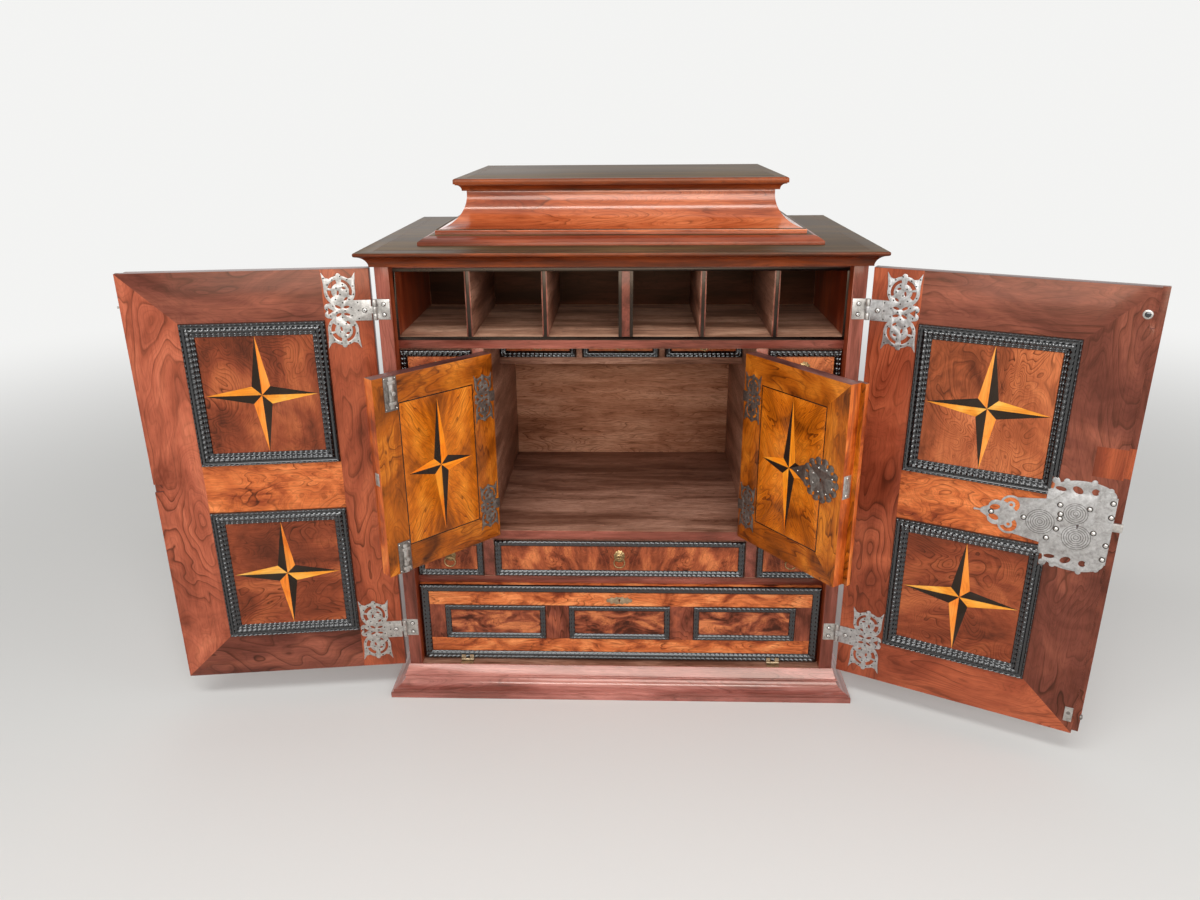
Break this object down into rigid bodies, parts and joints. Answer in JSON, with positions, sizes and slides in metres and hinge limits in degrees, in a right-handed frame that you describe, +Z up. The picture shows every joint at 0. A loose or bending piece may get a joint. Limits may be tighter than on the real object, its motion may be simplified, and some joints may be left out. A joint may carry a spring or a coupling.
{
  "type": "two-door table cabinet",
  "caption": "Walnut table cabinet with a coved top, two outer doors with star inlay and ripple frames, inner doors, pigeonholes, drawers and a fall flap, standing open.",
  "frame": {"origin": "centre of the plinth's underside, on the bearer that stands on the table", "axes": "+X to the viewer's right, +Y from the front to the back, +Z up"},
  "size_m": [1.7672, 0.7842, 1.0441],
  "materials": {
    "walnut": "figured walnut veneer, French polished",
    "oak": "plain oak, waxed",
    "ebonised_wood": "ebonised ripple moulding, polished",
    "inlay": "boxwood, satinwood and ebony veneers",
    "iron": "bright engraved iron",
    "brass": "aged brass"
  },
  "bodies": {
    "carcass": {"plinth_moulding": "walnut", "carcass_sides": "walnut", "carcass_back": "oak", "carcass_top": "walnut", "carcass_bottom": "oak", "cornice_moulding": "walnut", "top_base_moulding": "walnut", "cove_facings": "walnut", "top_core": "walnut", "cap_moulding": "walnut", "interior_shelves": "walnut", "partition_walls": "walnut", "interior_backs": "oak", "pigeonhole_dividers": "walnut", "drawer_dividers": "walnut", "pigeonhole_edging": "ebonised_wood", "column_drawers_row_1": "walnut", "column_drawers_row_2": "walnut", "column_drawers_row_3": "walnut", "column_drawers_row_4": "walnut", "column_drawer_mouldings": "ebonised_wood", "column_drawer_pulls": "brass", "outer_hinge_leaves": "iron", "inner_hinge_leaves": "iron", "flap_hinge_leaves": "brass"},
    "left_outer_door": {"left_outer_door": "walnut", "left_outer_frames": "ebonised_wood", "left_outer_stars": "inlay", "left_outer_ironwork": "iron"},
    "left_outer_edge_bolt": {"left_outer_edge_bolt": "iron"},
    "right_outer_door": {"right_outer_door": "walnut", "right_outer_frames": "ebonised_wood", "right_outer_stars": "inlay", "right_outer_ironwork": "iron"},
    "outer_lock_bolt": {"outer_lock_bolt": "iron"},
    "left_inner_door": {"left_inner_door": "walnut", "left_inner_inlays": "inlay", "left_inner_ironwork": "iron"},
    "left_inner_upper_bolt": {"left_inner_upper_bolt": "iron"},
    "left_inner_lower_bolt": {"left_inner_lower_bolt": "iron"},
    "right_inner_door": {"right_inner_door": "walnut", "right_inner_inlays": "inlay", "right_inner_ironwork": "iron"},
    "inner_lock_bolt": {"inner_lock_bolt": "iron"},
    "flap": {"flap_board": "walnut", "flap_mouldings": "ebonised_wood", "flap_fittings": "brass"},
    "flap_lock_bolt": {"flap_lock_bolt": "iron"},
    "lower_left_drawer": {"lower_left_drawer": "walnut"},
    "lower_left_ring": {"lower_left_ring": "brass"},
    "lower_centre_drawer": {"lower_centre_drawer": "walnut"},
    "lower_centre_ring": {"lower_centre_ring": "brass"},
    "lower_right_drawer": {"lower_right_drawer": "walnut"},
    "lower_right_ring": {"lower_right_ring": "brass"},
    "upper_left_drawer": {"upper_left_drawer": "walnut"},
    "upper_left_ring": {"upper_left_ring": "brass"},
    "upper_centre_drawer": {"upper_centre_drawer": "walnut"},
    "upper_centre_ring": {"upper_centre_ring": "brass"},
    "upper_right_drawer": {"upper_right_drawer": "walnut"},
    "upper_right_ring": {"upper_right_ring": "brass"}
  },
  "joints": [
    {"name": "left_outer_door_hinge", "type": "hinge", "parent": "carcass", "child": "left_outer_door", "pos_m": [-0.449, -0.2695, 0.48], "axis": [0, 0, -1], "range_deg": [-80, 7.3]},
    {"name": "right_outer_door_hinge", "type": "hinge", "parent": "carcass", "child": "right_outer_door", "pos_m": [0.449, -0.2695, 0.48], "axis": [0, 0, 1], "range_deg": [-66, 27.1]},
    {"name": "left_inner_door_hinge", "type": "hinge", "parent": "carcass", "child": "left_inner_door", "pos_m": [-0.258, -0.2403, 0.55], "axis": [0, 0, -1], "range_deg": [-134.1, 15.9]},
    {"name": "right_inner_door_hinge", "type": "hinge", "parent": "carcass", "child": "right_inner_door", "pos_m": [0.258, -0.2403, 0.55], "axis": [0, 0, 1], "range_deg": [-125.2, 24.8]},
    {"name": "left_outer_edge_bolt_slide", "type": "slide", "parent": "left_outer_door", "child": "left_outer_edge_bolt", "axis": [0, 0, 1], "range_m": [0, 0.01]},
    {"name": "outer_lock_bolt_slide", "type": "slide", "parent": "right_outer_door", "child": "outer_lock_bolt", "axis": [0.8902, -0.4555, 0], "range_m": [-0.014, 0]},
    {"name": "left_inner_upper_bolt_slide", "type": "slide", "parent": "left_inner_door", "child": "left_inner_upper_bolt", "axis": [0, 0, 1], "range_m": [0, 0.01]},
    {"name": "left_inner_lower_bolt_slide", "type": "slide", "parent": "left_inner_door", "child": "left_inner_lower_bolt", "axis": [0, 0, -1], "range_m": [0, 0.01]},
    {"name": "inner_lock_bolt_slide", "type": "slide", "parent": "right_inner_door", "child": "inner_lock_bolt", "axis": [0.5764, -0.8171, 0], "range_m": [0, 0.009]},
    {"name": "flap_hinge", "type": "hinge", "parent": "carcass", "child": "flap", "pos_m": [0, -0.2549, 0.065], "axis": [1, 0, 0], "range_deg": [0, 90]},
    {"name": "flap_lock_bolt_slide", "type": "slide", "parent": "flap", "child": "flap_lock_bolt", "axis": [0, 0, 1], "range_m": [0, 0.008]},
    {"name": "lower_left_drawer_slide", "type": "slide", "parent": "carcass", "child": "lower_left_drawer", "axis": [0, -1, 0], "range_m": [0, 0.35]},
    {"name": "lower_left_ring_pivot", "type": "hinge", "parent": "lower_left_drawer", "child": "lower_left_ring", "pos_m": [-0.3495, -0.2445, 0.303], "axis": [-1, 0, 0], "range_deg": [0, 80]},
    {"name": "lower_centre_drawer_slide", "type": "slide", "parent": "carcass", "child": "lower_centre_drawer", "axis": [0, -1, 0], "range_m": [0, 0.35]},
    {"name": "lower_centre_ring_pivot", "type": "hinge", "parent": "lower_centre_drawer", "child": "lower_centre_ring", "pos_m": [0, -0.2445, 0.303], "axis": [-1, 0, 0], "range_deg": [0, 80]},
    {"name": "lower_right_drawer_slide", "type": "slide", "parent": "carcass", "child": "lower_right_drawer", "axis": [0, -1, 0], "range_m": [0, 0.35]},
    {"name": "lower_right_ring_pivot", "type": "hinge", "parent": "lower_right_drawer", "child": "lower_right_ring", "pos_m": [0.3495, -0.2445, 0.303], "axis": [-1, 0, 0], "range_deg": [0, 80]},
    {"name": "upper_left_drawer_slide", "type": "slide", "parent": "carcass", "child": "upper_left_drawer", "axis": [0, -1, 0], "range_m": [0, 0.185]},
    {"name": "upper_left_ring_pivot", "type": "hinge", "parent": "upper_left_drawer", "child": "upper_left_ring", "pos_m": [-0.176, -0.0345, 0.709], "axis": [-1, 0, 0], "range_deg": [0, 80]},
    {"name": "upper_centre_drawer_slide", "type": "slide", "parent": "carcass", "child": "upper_centre_drawer", "axis": [0, -1, 0], "range_m": [0, 0.185]},
    {"name": "upper_centre_ring_pivot", "type": "hinge", "parent": "upper_centre_drawer", "child": "upper_centre_ring", "pos_m": [0, -0.0345, 0.709], "axis": [-1, 0, 0], "range_deg": [0, 80]},
    {"name": "upper_right_drawer_slide", "type": "slide", "parent": "carcass", "child": "upper_right_drawer", "axis": [0, -1, 0], "range_m": [0, 0.185]},
    {"name": "upper_right_ring_pivot", "type": "hinge", "parent": "upper_right_drawer", "child": "upper_right_ring", "pos_m": [0.176, -0.0345, 0.709], "axis": [-1, 0, 0], "range_deg": [0, 80]}
  ]
}
